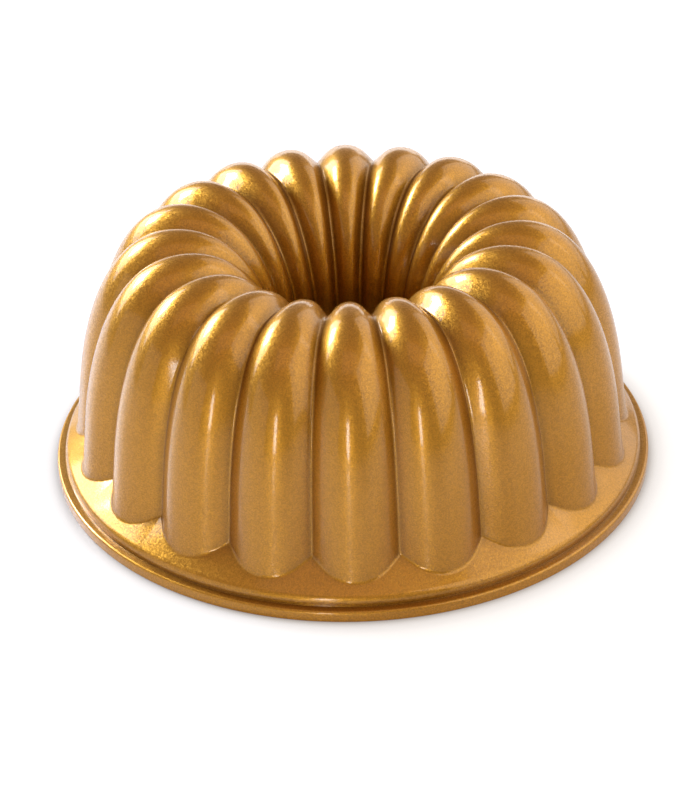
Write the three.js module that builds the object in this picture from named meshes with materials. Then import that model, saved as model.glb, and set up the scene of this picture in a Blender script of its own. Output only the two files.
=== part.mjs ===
// A cast fluted cake pan with a centre tube, standing upside down on its rim.
// Millimetres, +Z up. The pan's axis is Z, its rim stands on z = 0, and the crest of one flute faces -Y.
// The metal is one casting. A coat of paint lies on its outside and a release lining on its inside.

import * as THREE from "three";
import { LoftGeometry } from "three/addons/geometries/LoftGeometry.js";
import { mergeGeometries } from "three/addons/utils/BufferGeometryUtils.js";

// Overall size
const RIM_RADIUS = 130;
const PAN_HEIGHT = 107.5;
const FLUTES = 20;

// Rim and flange: a flat face to stand on, a straight side, a ledge, a shoulder and a sloping flange
const RIM_FACE_WIDTH = 5;
const LIP_HEIGHT = 4.7;
const LEDGE_WIDTH = 3.7;
const SHOULDER_RUN = 0.1;
const SHOULDER_RISE = 3.65;
const FLANGE_RUN = 5.3;
const FLANGE_SLOPE = THREE.MathUtils.degToRad(35);

// Path of a flute's crest: straight wall, outer half of the crown, inner half of the crown, tube
const WALL_LENGTH = 24;
const WALL_DRAFT = THREE.MathUtils.degToRad(7.2);
const CREST_RADIUS = 71.6;
const THROAT_RADIUS = 29.8;
const THROAT_DEPTH = 54.3;
const TUBE_END_HEIGHT = 14;
const TUBE_DRAFT = THREE.MathUtils.degToRad(4.7);

// How far each half of the crown holds its end directions, as a share of its own rise or run
const OUTER_CROWN_HOLD = { wall: 0.57, crest: 0.57 };
const INNER_CROWN_HOLD = { crest: 0.66, throat: 0.43 };

// Depth of the valleys between flutes, below the crests
const WALL_FLUTE_DEPTH = 8;
const CREST_FLUTE_DEPTH = 6.9;
const THROAT_FLUTE_DEPTH = 2.3;
const TUBE_END_FLUTE_DEPTH = 1.2;

// Layers, from the outside in
const COAT_THICKNESS = 0.2;
const METAL_THICKNESS = 3.2;
const LINING_THICKNESS = 0.2;
const FILM_GAP = 0.05;
const FILM_EDGE_LIFT = 0.1;

// Facets: steps across one flute, and along each half of the crown
const STEPS_PER_FLUTE = 4;
const OUTER_CROWN_STEPS = 6;
const INNER_CROWN_STEPS = 5;

// The first flute's crest faces -Y, so its valley is half a flute before that.
const FIRST_VALLEY_ANGLE = -Math.PI / 2 - Math.PI / FLUTES;

// How far below the painted surface each skin lies
const METAL_OUTSIDE = COAT_THICKNESS + FILM_GAP;
const METAL_INSIDE = METAL_OUTSIDE + METAL_THICKNESS;
const LINING_OUTSIDE = METAL_INSIDE + FILM_GAP;
const LINING_INSIDE = LINING_OUTSIDE + LINING_THICKNESS;

// Profile points and directions hold a radius as x and a height as y.
const SIDE_NORMAL = new THREE.Vector2(1, 0);
const LEDGE_NORMAL = new THREE.Vector2(0, 1);
const SHOULDER_NORMAL = new THREE.Vector2(SHOULDER_RISE, SHOULDER_RUN).normalize();
const FLANGE_NORMAL = new THREE.Vector2(Math.sin(FLANGE_SLOPE), Math.cos(FLANGE_SLOPE));

const lipFoot = new THREE.Vector2(RIM_RADIUS, 0);
const lipTop = new THREE.Vector2(RIM_RADIUS, LIP_HEIGHT);
const ledgeEnd = new THREE.Vector2(RIM_RADIUS - LEDGE_WIDTH, LIP_HEIGHT);
const flangeEdge = new THREE.Vector2(ledgeEnd.x - SHOULDER_RUN, ledgeEnd.y + SHOULDER_RISE);
const wallFoot = new THREE.Vector2(
  flangeEdge.x - FLANGE_RUN,
  flangeEdge.y + FLANGE_RUN * Math.tan(FLANGE_SLOPE),
);

function along(start, direction, distance) {
  return start.clone().addScaledVector(direction, distance);
}

// A corner between two faces, moved down by the same depth below both of them.
function sunkCorner(corner, normalA, normalB, depth) {
  const mitre = normalA.clone().add(normalB);
  return along(corner, mitre, -depth / (1 + normalA.dot(normalB)));
}

// The crest's path, with the depth of the flutes at the places where it is known

const wallUp = new THREE.Vector2(-Math.sin(WALL_DRAFT), Math.cos(WALL_DRAFT));
const wallNormal = new THREE.Vector2(wallUp.y, -wallUp.x);
const tubeUp = new THREE.Vector2(Math.sin(TUBE_DRAFT), Math.cos(TUBE_DRAFT));
const inward = new THREE.Vector2(-1, 0);

const wallTop = along(wallFoot, wallUp, WALL_LENGTH);
const crest = new THREE.Vector2(CREST_RADIUS, PAN_HEIGHT);
const throat = new THREE.Vector2(THROAT_RADIUS, PAN_HEIGHT - THROAT_DEPTH);
const tubeEnd = along(throat, tubeUp, (TUBE_END_HEIGHT - throat.y) / tubeUp.y);

const outerCrown = new THREE.CubicBezierCurve(
  wallTop,
  along(wallTop, wallUp, OUTER_CROWN_HOLD.wall * (crest.y - wallTop.y)),
  along(crest, inward, -OUTER_CROWN_HOLD.crest * (wallTop.x - crest.x)),
  crest,
);
const innerCrown = new THREE.CubicBezierCurve(
  crest,
  along(crest, inward, INNER_CROWN_HOLD.crest * (crest.x - throat.x)),
  along(throat, tubeUp, INNER_CROWN_HOLD.throat * (crest.y - throat.y)),
  throat,
);
const tube = new THREE.LineCurve(throat, tubeEnd);

// A station is a point of the crest's path, the way the crest faces there, and the depth of its flutes.
function station(curve, share, depthAtStart, depthAtEnd) {
  const tangent = curve.getTangent(share);
  return {
    point: curve.getPoint(share),
    normal: new THREE.Vector2(tangent.y, -tangent.x),
    fluteDepth: THREE.MathUtils.lerp(depthAtStart, depthAtEnd, share),
  };
}

const footStation = { point: wallFoot, normal: wallNormal, fluteDepth: WALL_FLUTE_DEPTH };
const crownStations = [];
for (let step = 0; step <= OUTER_CROWN_STEPS; step++) {
  const share = step / OUTER_CROWN_STEPS;
  crownStations.push(station(outerCrown, share, WALL_FLUTE_DEPTH, CREST_FLUTE_DEPTH));
}
for (let step = 1; step <= INNER_CROWN_STEPS; step++) {
  const share = step / INNER_CROWN_STEPS;
  crownStations.push(station(innerCrown, share, CREST_FLUTE_DEPTH, THROAT_FLUTE_DEPTH));
}
crownStations.push(station(tube, 1, THROAT_FLUTE_DEPTH, TUBE_END_FLUTE_DEPTH));

// How far a skin lies below the crest, across a flute whose section is a circular arc.
// Place runs from -1 at one valley to 1 at the next, and the crest is at 0.
function depthBelowCrest({ point, fluteDepth }, place, skinDepth) {
  const halfWidth = point.x * Math.sin(Math.PI / FLUTES);
  const arcRadius = (halfWidth ** 2 + fluteDepth ** 2) / (2 * fluteDepth);
  const across = Math.abs(place) * halfWidth;
  const skinRadius = arcRadius - skinDepth;
  if (across * arcRadius <= skinRadius * halfWidth) {
    return arcRadius - Math.sqrt(skinRadius ** 2 - across ** 2);
  }
  // Under a valley the skin keeps its distance from the sharp edge, so it runs round that edge.
  const toValley = halfWidth - across;
  return fluteDepth + Math.sqrt(skinDepth ** 2 - toValley ** 2);
}

function flutePoint(at, place, skinDepth) {
  return along(at.point, at.normal, -depthBelowCrest(at, place, skinDepth));
}

// The wall is straight, so the place where a skin of it reaches the same skin of the flange is exact.
function footPoint(place, skinDepth) {
  const below = depthBelowCrest(footStation, place, skinDepth);
  const climb = below * wallNormal.dot(FLANGE_NORMAL) - skinDepth;
  const start = along(wallFoot, wallNormal, -below);
  return along(start, wallUp, climb / wallUp.dot(FLANGE_NORMAL));
}

// The fluted part of a skin, from the flange up over the crown and down to the end of the tube.
function flutedRun(place, skinDepth) {
  const run = crownStations.map((at) => flutePoint(at, place, skinDepth));
  return [footPoint(place, skinDepth), ...run];
}

// A skin of the pan's outside at one place on a flute, from its lower edge to the end of the tube.
function outsideRun(place, skinDepth, lowerEdge) {
  return [
    new THREE.Vector2(lipFoot.x - skinDepth, lowerEdge),
    sunkCorner(lipTop, SIDE_NORMAL, LEDGE_NORMAL, skinDepth),
    sunkCorner(ledgeEnd, LEDGE_NORMAL, SHOULDER_NORMAL, skinDepth),
    sunkCorner(flangeEdge, SHOULDER_NORMAL, FLANGE_NORMAL, skinDepth),
    ...flutedRun(place, skinDepth),
  ];
}

// A skin of the pan's inside. Behind the rim it runs straight from the standing face to the flange.
function insideRun(place, skinDepth, lowerEdge) {
  const flangeCorner = sunkCorner(flangeEdge, SHOULDER_NORMAL, FLANGE_NORMAL, skinDepth);
  const behindMetal = skinDepth - METAL_INSIDE;
  const faceEdge = new THREE.Vector2(RIM_RADIUS - RIM_FACE_WIDTH - behindMetal, 0);
  const lower = faceEdge.lerp(flangeCorner, lowerEdge / flangeCorner.y);
  return [lower, flangeCorner, ...flutedRun(place, skinDepth)];
}

// One skin, with its profile at every step round the pan, lofted once round the axis.
function loftedSkin(run) {
  const turns = FLUTES * STEPS_PER_FLUTE;
  const sections = [];
  for (let turn = 0; turn <= turns; turn++) {
    const place = (2 * (turn % STEPS_PER_FLUTE)) / STEPS_PER_FLUTE - 1;
    const angle = FIRST_VALLEY_ANGLE + ((turn % turns) / turns) * 2 * Math.PI;
    const toSpace = ({ x, y }) => new THREE.Vector3(x * Math.cos(angle), x * Math.sin(angle), y);
    sections.push(run(place).map(toSpace));
  }
  return new LoftGeometry(sections, { closed: false });
}

function turnedOver(skin) {
  const corners = skin.index.array;
  for (let first = 0; first < corners.length; first += 3) {
    [corners[first], corners[first + 1]] = [corners[first + 1], corners[first]];
  }
  return skin;
}

// A layer is closed by its two skins, its lower edge and its edge at the end of the tube.
// Both skins are split into triangles the same way, so layers that lie on each other never cross.
function layerGeometry(outerSkin, innerSkin) {
  const lowerEdge = (place) => [outerSkin(place)[0], innerSkin(place)[0]];
  const tubeEdge = (place) => [outerSkin(place).at(-1), innerSkin(place).at(-1)];
  const layer = mergeGeometries([
    turnedOver(loftedSkin(outerSkin)),
    loftedSkin(innerSkin),
    loftedSkin(lowerEdge),
    turnedOver(loftedSkin(tubeEdge)),
  ]);
  layer.computeVertexNormals();
  return layer;
}

function makeCoat() {
  const geometry = layerGeometry(
    (place) => outsideRun(place, 0, FILM_EDGE_LIFT),
    (place) => outsideRun(place, COAT_THICKNESS, FILM_EDGE_LIFT),
  );
  const goldPaint = new THREE.MeshStandardMaterial({ color: 0xb98a40, roughness: 0.32, metalness: 0.8 });
  const coat = new THREE.Mesh(geometry, goldPaint);
  coat.name = "outer_gold_coat";
  return coat;
}

function makeShell() {
  const geometry = layerGeometry(
    (place) => outsideRun(place, METAL_OUTSIDE, 0),
    (place) => insideRun(place, METAL_INSIDE, 0),
  );
  const castAluminium = new THREE.MeshStandardMaterial({ color: 0xb4b4b2, roughness: 0.5, metalness: 1 });
  const shell = new THREE.Mesh(geometry, castAluminium);
  shell.name = "cast_shell";
  return shell;
}

function makeLining() {
  const geometry = layerGeometry(
    (place) => insideRun(place, LINING_OUTSIDE, FILM_EDGE_LIFT),
    (place) => insideRun(place, LINING_INSIDE, FILM_EDGE_LIFT),
  );
  const goldLining = new THREE.MeshStandardMaterial({ color: 0xa67c3c, roughness: 0.45, metalness: 0.6 });
  const lining = new THREE.Mesh(geometry, goldLining);
  lining.name = "inner_release_lining";
  return lining;
}

const pan = new THREE.Group();
pan.add(makeShell(), makeCoat(), makeLining());

export default pan;
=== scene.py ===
"""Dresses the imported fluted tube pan: its fine surfaces, finishes, studio light and camera.

Metres, +Z up, in the frame of the CAD model. The pan stands upside down on its rim. Its axis is Z, and the
crest of one flute faces -Y, towards the camera.
"""

import math

import bpy
from mathutils import Matrix, Vector


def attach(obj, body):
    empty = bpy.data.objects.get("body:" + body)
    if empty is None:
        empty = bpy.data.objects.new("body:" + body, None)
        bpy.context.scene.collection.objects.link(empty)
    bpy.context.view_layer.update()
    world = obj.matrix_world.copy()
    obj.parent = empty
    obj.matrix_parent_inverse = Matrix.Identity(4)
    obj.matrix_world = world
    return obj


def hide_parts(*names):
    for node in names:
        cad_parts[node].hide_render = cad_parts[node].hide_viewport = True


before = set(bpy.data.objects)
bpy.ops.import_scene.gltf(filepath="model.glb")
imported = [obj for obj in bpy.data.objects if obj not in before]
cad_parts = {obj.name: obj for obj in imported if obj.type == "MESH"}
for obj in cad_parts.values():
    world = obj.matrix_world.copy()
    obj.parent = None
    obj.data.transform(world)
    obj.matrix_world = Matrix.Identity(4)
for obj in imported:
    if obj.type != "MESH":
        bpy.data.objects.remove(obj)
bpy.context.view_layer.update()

MM = 0.001

# Overall size of the pan
RIM_RADIUS = 130 * MM
PAN_HEIGHT = 107.5 * MM
FLUTES = 20

# Rim and flange: a flat face to stand on, a straight side, a ledge, a shoulder and a sloping flange
RIM_FACE_WIDTH = 5 * MM
LIP_HEIGHT = 4.7 * MM
LEDGE_WIDTH = 3.7 * MM
SHOULDER_RUN = 0.1 * MM
SHOULDER_RISE = 3.65 * MM
FLANGE_RUN = 5.3 * MM
FLANGE_SLOPE = math.radians(35)

# Path of a flute's crest: straight wall, outer half of the crown, inner half of the crown, tube
WALL_LENGTH = 24 * MM
WALL_DRAFT = math.radians(7.2)
CREST_RADIUS = 71.6 * MM
THROAT_RADIUS = 29.8 * MM
THROAT_DEPTH = 54.3 * MM
TUBE_END_HEIGHT = 14 * MM
TUBE_DRAFT = math.radians(4.7)
OUTER_CROWN_HOLD = (0.57, 0.57)
INNER_CROWN_HOLD = (0.66, 0.43)

# Depth of the valleys between flutes, below the crests
WALL_FLUTE_DEPTH = 8 * MM
CREST_FLUTE_DEPTH = 6.9 * MM
THROAT_FLUTE_DEPTH = 2.3 * MM
TUBE_END_FLUTE_DEPTH = 1.2 * MM

# How much steeper a flute's flanks are than a straight line from its crest to its valley
FLANK_STEEPNESS = 1.7

# Layers, from the outside in
COAT_THICKNESS = 0.2 * MM
METAL_THICKNESS = 3.2 * MM
LINING_THICKNESS = 0.2 * MM
FILM_GAP = 0.05 * MM
FILM_EDGE_LIFT = 0.1 * MM

# Radii that the casting's edges and corners are rounded to
VALLEY_ROUND = 0.9 * MM
FOOT_ROUND = 2.8 * MM
LIP_ROUND = 1.2 * MM
LEDGE_ROUND = 0.1 * MM
FLANGE_EDGE_ROUND = 4.0 * MM
INNER_FLANGE_ROUND = 2.5 * MM
FACE_EDGE_ROUND = 0.3 * MM

# Fineness of the surfaces
STEPS_PER_HALF_FLUTE = 11
STEPS_PER_ROUND = 5
WALL_ROWS = 6
OUTER_CROWN_ROWS = 28
INNER_CROWN_ROWS = 25
TUBE_ROWS = 7
SHARP_EDGE = math.radians(50)

# How far below the painted surface each skin lies
METAL_OUTSIDE = COAT_THICKNESS + FILM_GAP
METAL_INSIDE = METAL_OUTSIDE + METAL_THICKNESS
LINING_OUTSIDE = METAL_INSIDE + FILM_GAP
LINING_INSIDE = LINING_OUTSIDE + LINING_THICKNESS


# Profile of the pan. Its points and directions hold a radius as x and a height as y.

SIDE_NORMAL = Vector((1, 0))
LEDGE_NORMAL = Vector((0, 1))
SHOULDER_NORMAL = Vector((SHOULDER_RISE, SHOULDER_RUN)).normalized()
FLANGE_NORMAL = Vector((math.sin(FLANGE_SLOPE), math.cos(FLANGE_SLOPE)))
WALL_UP = Vector((-math.sin(WALL_DRAFT), math.cos(WALL_DRAFT)))
WALL_NORMAL = Vector((WALL_UP.y, -WALL_UP.x))
TUBE_UP = Vector((math.sin(TUBE_DRAFT), math.cos(TUBE_DRAFT)))
INWARD = Vector((-1, 0))

lip_top = Vector((RIM_RADIUS, LIP_HEIGHT))
ledge_end = Vector((RIM_RADIUS - LEDGE_WIDTH, LIP_HEIGHT))
flange_edge = ledge_end + Vector((-SHOULDER_RUN, SHOULDER_RISE))
wall_foot = flange_edge + Vector((-FLANGE_RUN, FLANGE_RUN * math.tan(FLANGE_SLOPE)))
wall_top = wall_foot + WALL_UP * WALL_LENGTH
crest = Vector((CREST_RADIUS, PAN_HEIGHT))
throat = Vector((THROAT_RADIUS, PAN_HEIGHT - THROAT_DEPTH))
tube_end = throat + TUBE_UP * ((TUBE_END_HEIGHT - throat.y) / TUBE_UP.y)


class Station:
    """A point of the crest's path, the way the crest faces there, and the section of its flutes.

    A flute's section is an arc over its crest with a straight flank on each side. A smaller arc rounds the
    valley to the next flute.
    """

    def __init__(self, point, normal, flute_depth):
        self.point = point
        self.normal = normal
        self.half_width = point.x * math.sin(math.pi / FLUTES)
        self.flank = math.atan(FLANK_STEEPNESS * flute_depth / self.half_width)
        self.valley_middle = flute_depth - VALLEY_ROUND
        flank_reach = self.half_width * math.sin(self.flank) - self.valley_middle * math.cos(self.flank)
        self.crest_round = (flank_reach - VALLEY_ROUND) / (1 - math.cos(self.flank))

    def below_crest(self, place, skin):
        """How far a skin lies below the crest. Place runs from -1 at one valley to 1 at the next."""
        across = abs(place) * self.half_width
        to_valley = self.half_width - across
        crest_arc = self.crest_round - skin
        valley_arc = VALLEY_ROUND + skin
        if across <= crest_arc * math.sin(self.flank):
            return self.crest_round - math.sqrt(crest_arc**2 - across**2)
        if to_valley <= valley_arc * math.sin(self.flank):
            return self.valley_middle + math.sqrt(valley_arc**2 - to_valley**2)
        flank_top = self.crest_round - crest_arc * math.cos(self.flank)
        return flank_top + (across - crest_arc * math.sin(self.flank)) * math.tan(self.flank)

    def skin_point(self, place, skin):
        return self.point - self.normal * self.below_crest(place, skin)


def curve_stations(start, start_pull, end_pull, end, rows, depths):
    """Stations along a cubic curve, without the one at its start."""
    first_leg = start_pull - start
    middle_leg = end_pull - start_pull
    last_leg = end - end_pull
    stations = []
    for row in range(1, rows + 1):
        t = row / rows
        s = 1 - t
        point = start * s**3 + start_pull * (3 * s * s * t) + end_pull * (3 * s * t * t) + end * t**3
        leaving = first_leg * s**2 + middle_leg * (2 * s * t) + last_leg * t**2
        leaving.normalize()
        depth = depths[0] * s + depths[1] * t
        stations.append(Station(point, Vector((leaving.y, -leaving.x)), depth))
    return stations


def straight_stations(start, end, rows, depths):
    third = (end - start) / 3
    return curve_stations(start, start + third, end - third, end, rows, depths)


foot_station = Station(wall_foot, WALL_NORMAL, WALL_FLUTE_DEPTH)
wall_stations = straight_stations(
    wall_foot + WALL_UP * (WALL_FLUTE_DEPTH + FOOT_ROUND),
    wall_top,
    WALL_ROWS,
    (WALL_FLUTE_DEPTH, WALL_FLUTE_DEPTH),
)
outer_crown_stations = curve_stations(
    wall_top,
    wall_top + WALL_UP * (OUTER_CROWN_HOLD[0] * (crest.y - wall_top.y)),
    crest - INWARD * (OUTER_CROWN_HOLD[1] * (wall_top.x - crest.x)),
    crest,
    OUTER_CROWN_ROWS,
    (WALL_FLUTE_DEPTH, CREST_FLUTE_DEPTH),
)
inner_crown_stations = curve_stations(
    crest,
    crest + INWARD * (INNER_CROWN_HOLD[0] * (crest.x - throat.x)),
    throat + TUBE_UP * (INNER_CROWN_HOLD[1] * (crest.y - throat.y)),
    throat,
    INNER_CROWN_ROWS,
    (CREST_FLUTE_DEPTH, THROAT_FLUTE_DEPTH),
)
tube_stations = straight_stations(throat, tube_end, TUBE_ROWS, (THROAT_FLUTE_DEPTH, TUBE_END_FLUTE_DEPTH))
stations_above_foot = wall_stations + outer_crown_stations + inner_crown_stations + tube_stations


def sunk_corner(corner, normal_a, normal_b, skin):
    """A corner between two faces, moved down by the same depth below both of them."""
    return corner - (normal_a + normal_b) * (skin / (1 + normal_a.dot(normal_b)))


def foot_corner(place, skin):
    """Where a skin of the straight wall meets the same skin of the flange."""
    below = foot_station.below_crest(place, skin)
    climb = (below * WALL_NORMAL.dot(FLANGE_NORMAL) - skin) / WALL_UP.dot(FLANGE_NORMAL)
    return wall_foot - WALL_NORMAL * below + WALL_UP * climb


def fluted_corners(place, skin):
    """Corners of a skin, each with its radius, from the flange up over the crown and down the tube."""
    corners = [(foot_corner(place, skin), FOOT_ROUND + skin)]
    for station in stations_above_foot:
        corners.append((station.skin_point(place, skin), 0))
    return corners


def outside_corners(place, skin, lower_edge, edge_round=0):
    return [
        (Vector((RIM_RADIUS - skin, lower_edge)), edge_round),
        (sunk_corner(lip_top, SIDE_NORMAL, LEDGE_NORMAL, skin), LIP_ROUND - skin),
        (sunk_corner(ledge_end, LEDGE_NORMAL, SHOULDER_NORMAL, skin), LEDGE_ROUND + skin),
        (sunk_corner(flange_edge, SHOULDER_NORMAL, FLANGE_NORMAL, skin), FLANGE_EDGE_ROUND - skin),
        *fluted_corners(place, skin),
    ]


def inside_corners(place, skin, lower_edge, edge_round=0):
    """Behind the rim the inside runs straight from the standing face to the flange."""
    behind_metal = skin - METAL_INSIDE
    flange_corner = sunk_corner(flange_edge, SHOULDER_NORMAL, FLANGE_NORMAL, skin)
    face_edge = Vector((RIM_RADIUS - RIM_FACE_WIDTH - behind_metal, 0))
    lower = face_edge.lerp(flange_corner, lower_edge / flange_corner.y)
    return [
        (lower, edge_round),
        (flange_corner, INNER_FLANGE_ROUND - behind_metal),
        *fluted_corners(place, skin),
    ]


def rounded(before, corner, after, radius):
    """Points of an arc that is tangent to both legs of a corner."""
    back = (before - corner).normalized()
    ahead = (after - corner).normalized()
    turn = math.pi - back.angle(ahead)
    tangent_length = radius * math.tan(turn / 2)
    middle = corner + (back + ahead).normalized() * (radius / math.cos(turn / 2))
    from_middle = corner + back * tangent_length - middle
    to_end = corner + ahead * tangent_length - middle
    arc = []
    for step in range(STEPS_PER_ROUND + 1):
        share = step / STEPS_PER_ROUND
        spoke = from_middle * math.sin((1 - share) * turn) + to_end * math.sin(share * turn)
        arc.append(middle + spoke / math.sin(turn))
    return arc


def closed_outline(outer_corners, inner_corners):
    """A layer's section: up its outer skin and back down its inner one, with its corners rounded."""
    corners = outer_corners + inner_corners[::-1]
    outline = []
    for index, (corner, radius) in enumerate(corners):
        if radius > 0:
            before = corners[index - 1][0]
            after = corners[(index + 1) % len(corners)][0]
            outline.extend(rounded(before, corner, after, radius))
        else:
            outline.append(corner)
    return outline


def flute_places():
    """Places across one flute, from its crest to just before the next crest, closest in the valley."""
    to_valley = [1 - (1 - step / STEPS_PER_HALF_FLUTE) ** 2 for step in range(STEPS_PER_HALF_FLUTE + 1)]
    from_valley = [-place for place in to_valley[-2:0:-1]]
    return to_valley + from_valley


def layer_mesh(name, outer_corners, inner_corners):
    """One layer of the pan as a closed mesh: its section at every place, joined once round the axis."""
    places = flute_places()
    outlines = [closed_outline(outer_corners(place), inner_corners(place)) for place in places]
    rows = len(outlines[0])
    points = []
    for flute in range(FLUTES):
        for place, outline in zip(places, outlines):
            nearest_crest = flute + 1 if place < 0 else flute
            angle = (nearest_crest + place / 2) * 2 * math.pi / FLUTES - math.pi / 2
            for point in outline:
                points.append((point.x * math.cos(angle), point.x * math.sin(angle), point.y))
    columns = FLUTES * len(places)
    faces = []
    for column in range(columns):
        here = column * rows
        there = (column + 1) % columns * rows
        for row in range(rows):
            up = (row + 1) % rows
            faces.append((here + row, there + row, there + up, here + up))
    mesh = bpy.data.meshes.new(name)
    mesh.from_pydata(points, [], faces)
    mesh.shade_smooth()
    mesh.set_sharp_from_angle(angle=SHARP_EDGE)
    return mesh


def dress(name, node, mesh, finish):
    """Puts a fine piece in the place of its CAD node."""
    piece = bpy.data.objects.new(name, mesh)
    bpy.context.scene.collection.objects.link(piece)
    mesh.materials.append(finish)
    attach(piece, "root")
    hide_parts(node)


# Finishes

NODE_SPACING = 200

PAINT_GOLD = (0.488, 0.239, 0.023, 1)
LINING_GOLD = (0.42, 0.2, 0.045, 1)
BARE_METAL = (0.66, 0.66, 0.65, 1)

# Painted shade: the paint's colour is darkened in the valleys and in the rim's groove, where they are closed
# in. The openness of a place is the share of its sky that is clear within the reach: the painted shade is
# deepest at the lower share, and gone at the upper one.
PAINTED_SHADE_REACH = 5 * MM
PAINTED_SHADE_OPENNESS = (0.5, 0.95)
PAINTED_SHADE_TONE = 0.45
PAINTED_SHADE_RAYS = 4

# Bare metal: the height of its relief, and the width of the fine rings on the faced rim. The rings' tones go
# from the lower to the upper one where their noise goes through the middle of its range.
BARE_METAL_RELIEF = 0.02 * MM
FACING_RING_WIDTH = 0.25 * MM
FACING_RING_NOISE = (0.3, 0.7)
FACING_RING_TONES = (0.85, 1.1)


def add_node(tree, kind):
    made = tree.nodes.new(kind)
    made.location.x = NODE_SPACING * len(tree.nodes)
    return made


def feed(tree, socket, value):
    """Sets a socket to a value, or links another node's output to it."""
    if isinstance(value, bpy.types.NodeSocket):
        tree.links.new(value, socket)
    else:
        socket.default_value = value


def feed_by_name(tree, node, sockets):
    for name, value in sockets.items():
        feed(tree, node.inputs[name.replace("_", " ")], value)


def put_node(tree, kind, **sockets):
    """A node with its inputs set by name, each to a value or to another node's output."""
    made = add_node(tree, kind)
    feed_by_name(tree, made, sockets)
    return made


def put_group(tree, group, **sockets):
    """A shared node group, placed in a material with its own values."""
    made = add_node(tree, "ShaderNodeGroup")
    made.node_tree = group
    feed_by_name(tree, made, sockets)
    return made


def put_math(tree, operation, *values):
    made = add_node(tree, "ShaderNodeMath")
    made.operation = operation
    for socket, value in zip(made.inputs, values):
        feed(tree, socket, value)
    return made.outputs["Value"]


def put_vector_math(tree, operation, *values, **sockets):
    made = add_node(tree, "ShaderNodeVectorMath")
    made.operation = operation
    for socket, value in zip(made.inputs, values):
        feed(tree, socket, value)
    feed_by_name(tree, made, sockets)
    return made.outputs["Value" if operation == "LENGTH" else "Vector"]


def new_group(name, inputs, outputs):
    """An empty shader node group with named sockets, and its input and output nodes."""
    group = bpy.data.node_groups.new(name, "ShaderNodeTree")
    for socket_name, kind, value in inputs:
        socket = group.interface.new_socket(socket_name, in_out="INPUT", socket_type=kind)
        if value is not None:
            socket.default_value = value
    for socket_name, kind in outputs:
        group.interface.new_socket(socket_name, in_out="OUTPUT", socket_type=kind)
    return group, group.nodes.new("NodeGroupInput"), group.nodes.new("NodeGroupOutput")


def flake_group():
    """Metal flakes in a sprayed film: each lies at its own small tilt and has its own tone."""
    group, given, result = new_group(
        "sprayed_flakes",
        [
            ("Normal", "NodeSocketVector", None),
            ("Flake Size", "NodeSocketFloat", 0.5 * MM),
            ("Tilt", "NodeSocketFloat", 0.1),
            ("Tone Spread", "NodeSocketFloat", 0.1),
        ],
        [("Normal", "NodeSocketVector"), ("Tone", "NodeSocketFloat")],
    )
    where = put_node(group, "ShaderNodeTexCoord")
    density = put_math(group, "DIVIDE", 1.0, given.outputs["Flake Size"])
    flakes = put_node(group, "ShaderNodeTexVoronoi", Vector=where.outputs["Object"], Scale=density)
    lean = put_vector_math(group, "SUBTRACT", flakes.outputs["Color"], (0.5, 0.5, 0.5))
    tilt = put_vector_math(group, "SCALE", lean, Scale=given.outputs["Tilt"])
    tilted = put_vector_math(group, "ADD", given.outputs["Normal"], tilt)
    group.links.new(put_vector_math(group, "NORMALIZE", tilted), result.inputs["Normal"])
    split = put_node(group, "ShaderNodeSeparateColor", Color=flakes.outputs["Color"])
    low = put_math(group, "SUBTRACT", 1.0, given.outputs["Tone Spread"])
    high = put_math(group, "ADD", 1.0, given.outputs["Tone Spread"])
    tone = put_node(group, "ShaderNodeMapRange", Value=split.outputs["Green"], To_Min=low, To_Max=high)
    group.links.new(tone.outputs["Result"], result.inputs["Tone"])
    return group


def waviness_group():
    """The slow waves and the fine orange peel of a sprayed casting, as one height."""
    group, given, result = new_group(
        "cast_waviness",
        [
            ("Wave Length", "NodeSocketFloat", 12 * MM),
            ("Peel Size", "NodeSocketFloat", 2 * MM),
            ("Peel Share", "NodeSocketFloat", 0.2),
        ],
        [("Height", "NodeSocketFloat")],
    )
    where = put_node(group, "ShaderNodeTexCoord")
    wave_density = put_math(group, "DIVIDE", 1.0, given.outputs["Wave Length"])
    place = where.outputs["Object"]
    waves = put_node(group, "ShaderNodeTexNoise", Vector=place, Scale=wave_density, Detail=1.0)
    peel_density = put_math(group, "DIVIDE", 1.0, given.outputs["Peel Size"])
    peel = put_node(group, "ShaderNodeTexNoise", Vector=place, Scale=peel_density, Detail=1.0)
    fine = put_math(group, "MULTIPLY", peel.outputs["Fac"], given.outputs["Peel Share"])
    group.links.new(put_math(group, "ADD", waves.outputs["Fac"], fine), result.inputs["Height"])
    return group


FLAKES = flake_group()
WAVINESS = waviness_group()


def new_finish(name):
    """An empty material, its node tree and its Principled shader."""
    material = bpy.data.materials.new(name)
    material.use_nodes = True
    shader = material.node_tree.nodes["Principled BSDF"]
    return material, material.node_tree, shader


def spray(tree, shader, waves, wave_height, flakes):
    """Sets a sprayed film's waves and flakes on the shader's normal, and gives back the flakes' tone."""
    height = put_group(tree, WAVINESS, **waves).outputs["Height"]
    bump = put_node(tree, "ShaderNodeBump", Strength=1.0, Distance=wave_height, Height=height)
    film = put_group(tree, FLAKES, Normal=bump.outputs["Normal"], **flakes)
    tree.links.new(film.outputs["Normal"], shader.inputs["Normal"])
    return film.outputs["Tone"]


def tint(tree, shader, colour, tone):
    """Gives the shader a colour that gets lighter and darker with a tone."""
    tinted = put_node(tree, "ShaderNodeHueSaturation", Color=colour, Value=tone)
    tree.links.new(tinted.outputs["Color"], shader.inputs["Base Color"])


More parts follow.
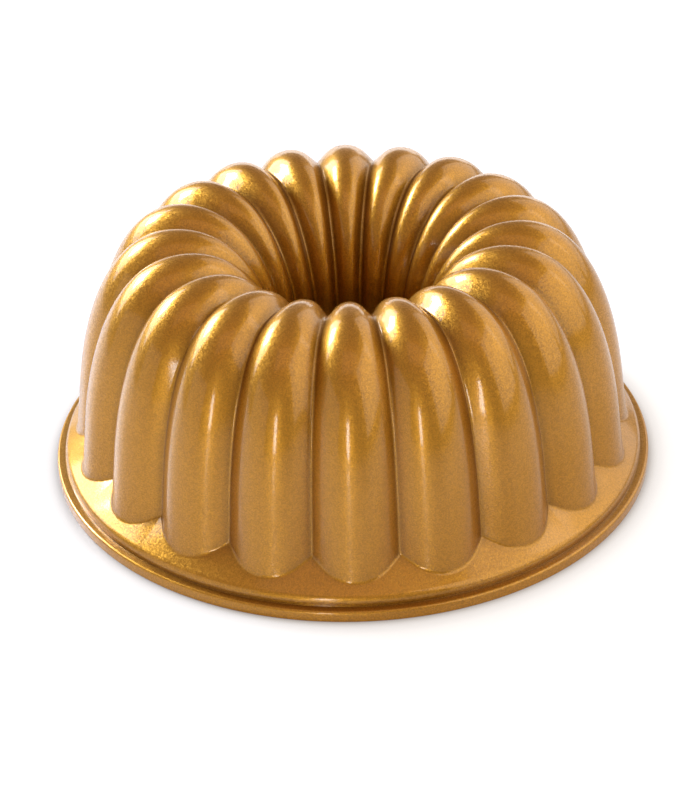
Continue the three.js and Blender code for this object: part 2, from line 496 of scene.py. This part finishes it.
def gold_paint():
    """Gold paint with fine metal flakes under a clear layer, its colour darkened in the hollows as painted
    shade.
    """
    material, tree, shader = new_finish("flaked_gold_paint")
    flake_tone = spray(
        tree,
        shader,
        waves={"Wave_Length": 11 * MM, "Peel_Size": 2.2 * MM, "Peel_Share": 0.1},
        wave_height=0.015 * MM,
        flakes={"Flake_Size": 0.5 * MM, "Tilt": 0.14, "Tone_Spread": 0.17},
    )
    # Painted shade: an ambient-occlusion mask darkens the paint's colour in the valleys and the rim's groove.
    shade_occlusion = put_node(tree, "ShaderNodeAmbientOcclusion", Distance=PAINTED_SHADE_REACH)
    shade_occlusion.only_local = True
    shade_occlusion.samples = PAINTED_SHADE_RAYS
    painted_shade_factor = put_node(
        tree,
        "ShaderNodeMapRange",
        Value=shade_occlusion.outputs["AO"],
        From_Min=PAINTED_SHADE_OPENNESS[0],
        From_Max=PAINTED_SHADE_OPENNESS[1],
        To_Min=PAINTED_SHADE_TONE,
        To_Max=1.0,
    )
    tint(tree, shader, PAINT_GOLD, put_math(tree, "MULTIPLY", flake_tone, painted_shade_factor.outputs["Result"]))
    shader.inputs["Metallic"].default_value = 1.0
    shader.inputs["Roughness"].default_value = 0.42
    shader.inputs["Coat Weight"].default_value = 1.0
    shader.inputs["Coat Roughness"].default_value = 0.12
    shader.inputs["Coat IOR"].default_value = 1.46
    return material


def gold_lining():
    """The release lining: a like gold, flatter and with no clear layer."""
    material, tree, shader = new_finish("satin_gold_lining")
    flake_tone = spray(
        tree,
        shader,
        waves={"Wave_Length": 9 * MM, "Peel_Size": 1.6 * MM, "Peel_Share": 0.3},
        wave_height=0.06 * MM,
        flakes={"Flake_Size": 0.6 * MM, "Tilt": 0.2, "Tone_Spread": 0.15},
    )
    tint(tree, shader, LINING_GOLD, flake_tone)
    shader.inputs["Metallic"].default_value = 0.7
    shader.inputs["Roughness"].default_value = 0.48
    return material


def cast_aluminium():
    """Bare cast metal, with the fine rings that facing the rim leaves."""
    material, tree, shader = new_finish("bare_cast_aluminium")
    where = put_node(tree, "ShaderNodeTexCoord")
    from_axis = put_vector_math(tree, "MULTIPLY", where.outputs["Object"], (1, 1, 0))
    ring_place = put_node(tree, "ShaderNodeCombineXYZ", X=put_vector_math(tree, "LENGTH", from_axis))
    rings = put_node(
        tree,
        "ShaderNodeTexNoise",
        Vector=ring_place.outputs["Vector"],
        Scale=1 / FACING_RING_WIDTH,
        Detail=2.0,
    )
    waves = put_group(tree, WAVINESS, Wave_Length=7 * MM, Peel_Size=0.9 * MM, Peel_Share=0.5)
    height = put_math(tree, "ADD", waves.outputs["Height"], rings.outputs["Fac"])
    bump = put_node(tree, "ShaderNodeBump", Strength=1.0, Distance=BARE_METAL_RELIEF, Height=height)
    tree.links.new(bump.outputs["Normal"], shader.inputs["Normal"])
    ring_tone = put_node(
        tree,
        "ShaderNodeMapRange",
        Value=rings.outputs["Fac"],
        From_Min=FACING_RING_NOISE[0],
        From_Max=FACING_RING_NOISE[1],
        To_Min=FACING_RING_TONES[0],
        To_Max=FACING_RING_TONES[1],
    )
    tint(tree, shader, BARE_METAL, ring_tone.outputs["Result"])
    shader.inputs["Metallic"].default_value = 1.0
    shader.inputs["Roughness"].default_value = 0.42
    return material


# The pan's three layers

dress(
    "gold_coat",
    "outer_gold_coat",
    layer_mesh(
        "gold_coat",
        lambda place: outside_corners(place, 0, FILM_EDGE_LIFT),
        lambda place: outside_corners(place, COAT_THICKNESS, FILM_EDGE_LIFT),
    ),
    gold_paint(),
)
dress(
    "casting",
    "cast_shell",
    layer_mesh(
        "casting",
        lambda place: outside_corners(place, METAL_OUTSIDE, 0, FACE_EDGE_ROUND),
        lambda place: inside_corners(place, METAL_INSIDE, 0, FACE_EDGE_ROUND),
    ),
    cast_aluminium(),
)
dress(
    "release_lining",
    "inner_release_lining",
    layer_mesh(
        "release_lining",
        lambda place: inside_corners(place, LINING_OUTSIDE, FILM_EDGE_LIFT),
        lambda place: inside_corners(place, LINING_INSIDE, FILM_EDGE_LIFT),
    ),
    gold_lining(),
)


# Stage, light and camera

FLOOR_HALF_WIDTH = 8

# The white floor glows, more so in the picture than in the pan's reflections. Close to the pan its glow is
# dimmed by an ambient-occlusion mask, a painted contact shadow.
FLOOR_GLOW_ON_PAN = 0.12
FLOOR_GLOW_IN_VIEW = 0.84
FLOOR_TONE_ON_PAN = 0.8
FLOOR_TONE_IN_VIEW = 0.32
CONTACT_SHADE_REACH = 14 * MM
CONTACT_SHADE_DEPTH = 2.0

# Colours of the lights
PLAIN_WHITE = (1, 1, 1)
COOL_WHITE = (0.88, 1.0, 1.24)
WARM_WHITE = (1.0, 0.72, 0.5)

# The photograph's view: what the camera looks at, how far it stands, its tilts, and its lens in millimetres
CAMERA_AIM = Vector((-0.7 * MM, 0, 21.9 * MM))
CAMERA_DISTANCE = 1010.5 * MM
CAMERA_DOWN = math.radians(32.22)
CAMERA_ROLL = math.radians(-1.5)
SENSOR_WIDTH = 36
FOCAL_LENGTH = 103.77


def lay_floor():
    """A wide white table under the pan."""
    signs = [(-1, -1), (1, -1), (1, 1), (-1, 1)]
    corners = [(x * FLOOR_HALF_WIDTH, y * FLOOR_HALF_WIDTH, 0) for x, y in signs]
    mesh = bpy.data.meshes.new("floor")
    mesh.from_pydata(corners, [], [(0, 1, 2, 3)])
    floor = bpy.data.objects.new("floor", mesh)
    bpy.context.scene.collection.objects.link(floor)
    material, tree, shader = new_finish("white_table")
    shader.inputs["Roughness"].default_value = 0.35
    shader.inputs["Specular IOR Level"].default_value = 0.35
    in_view = put_node(tree, "ShaderNodeLightPath").outputs["Is Camera Ray"]
    tone = put_node(
        tree, "ShaderNodeMapRange", Value=in_view, To_Min=FLOOR_TONE_ON_PAN, To_Max=FLOOR_TONE_IN_VIEW
    )
    tree.links.new(tone.outputs["Result"], shader.inputs["Base Color"])
    glow = put_node(
        tree, "ShaderNodeMapRange", Value=in_view, To_Min=FLOOR_GLOW_ON_PAN, To_Max=FLOOR_GLOW_IN_VIEW
    )
    tree.links.new(glow.outputs["Result"], shader.inputs["Emission Strength"])
    # Painted contact shadow: ambient occlusion dims the floor's glow close to the pan.
    shade = put_node(tree, "ShaderNodeAmbientOcclusion", Distance=CONTACT_SHADE_REACH)
    contact_shadow_dimming = put_math(tree, "POWER", shade.outputs["AO"], CONTACT_SHADE_DEPTH)
    tree.links.new(contact_shadow_dimming, shader.inputs["Emission Color"])
    mesh.materials.append(material)


def hang_softbox(name, azimuth, elevation, distance, size, brightness, colour=PLAIN_WHITE):
    """A soft light aimed at the pan. Azimuth 0 is at the camera's side, and 90 degrees to its right."""
    width, height = size
    light = bpy.data.lights.new(name, "AREA")
    light.shape = "RECTANGLE"
    light.size = width
    light.size_y = height
    light.energy = brightness * math.pi * width * height
    light.color = colour
    lamp = bpy.data.objects.new(name, light)
    bpy.context.scene.collection.objects.link(lamp)
    turn = math.radians(azimuth)
    rise = math.radians(elevation)
    towards = Vector((math.sin(turn) * math.cos(rise), -math.cos(turn) * math.cos(rise), math.sin(rise)))
    aim = Vector((0, 0, PAN_HEIGHT / 2))
    lamp.location = aim + towards * distance
    lamp.rotation_mode = "QUATERNION"
    lamp.rotation_quaternion = (-towards).to_track_quat("-Z", "Y")
    lamp.visible_camera = False


def set_room_light(colour, at_horizon, overhead):
    """Dim surroundings, of one brightness at the horizon and another overhead."""
    world = bpy.data.worlds.new("studio")
    world.use_nodes = True
    tree = world.node_tree
    where = put_node(tree, "ShaderNodeTexCoord")
    place = put_node(tree, "ShaderNodeSeparateXYZ", Vector=where.outputs["Generated"])
    shade = put_node(tree, "ShaderNodeMapRange", Value=place.outputs["Z"], To_Min=at_horizon, To_Max=overhead)
    background = tree.nodes["Background"]
    background.inputs["Color"].default_value = (*colour, 1)
    tree.links.new(shade.outputs["Result"], background.inputs["Strength"])
    bpy.context.scene.world = world


def set_camera():
    """A long lens, looking down at the pan, tilted a little to one side."""
    forward = Vector((0, math.cos(CAMERA_DOWN), -math.sin(CAMERA_DOWN)))
    level_right = Vector((1, 0, 0))
    level_up = level_right.cross(forward)
    right = level_right * math.cos(CAMERA_ROLL) + level_up * math.sin(CAMERA_ROLL)
    up = level_up * math.cos(CAMERA_ROLL) - level_right * math.sin(CAMERA_ROLL)
    lens = bpy.data.cameras.new("camera")
    lens.sensor_width = SENSOR_WIDTH
    lens.lens = FOCAL_LENGTH
    camera = bpy.data.objects.new("camera", lens)
    bpy.context.scene.collection.objects.link(camera)
    turned = Matrix((right, up, -forward)).transposed()
    place = CAMERA_AIM - forward * CAMERA_DISTANCE
    camera.matrix_world = Matrix.LocRotScale(place, turned.to_quaternion(), None)
    bpy.context.scene.camera = camera


lay_floor()
hang_softbox(
    "key",
    azimuth=-123,
    elevation=26,
    distance=1.2,
    size=(0.95, 0.72),
    brightness=3.8,
    colour=COOL_WHITE,
)
hang_softbox(
    "key_core",
    azimuth=-123,
    elevation=30,
    distance=1.15,
    size=(0.36, 0.28),
    brightness=21.0,
    colour=COOL_WHITE,
)
hang_softbox("right_panel", azimuth=62, elevation=30, distance=1.3, size=(1.4, 1.2), brightness=1.1)
hang_softbox("right_back_panel", azimuth=122, elevation=30, distance=1.3, size=(1.4, 1.2), brightness=1.0)
hang_softbox("backdrop", azimuth=180, elevation=6, distance=1.5, size=(1.4, 0.35), brightness=1.6)
hang_softbox("front_strip", azimuth=-11, elevation=8, distance=1.3, size=(0.13, 0.34), brightness=13.0)
hang_softbox("left_front_panel", azimuth=-58, elevation=10, distance=1.3, size=(1.1, 0.6), brightness=0.55)
hang_softbox(
    "front_fill",
    azimuth=-5,
    elevation=60,
    distance=1.4,
    size=(1.2, 0.6),
    brightness=0.5,
    colour=WARM_WHITE,
)
set_room_light(WARM_WHITE, at_horizon=0.33, overhead=0.5)
set_camera()
bpy.context.scene.view_settings.view_transform = "Standard"
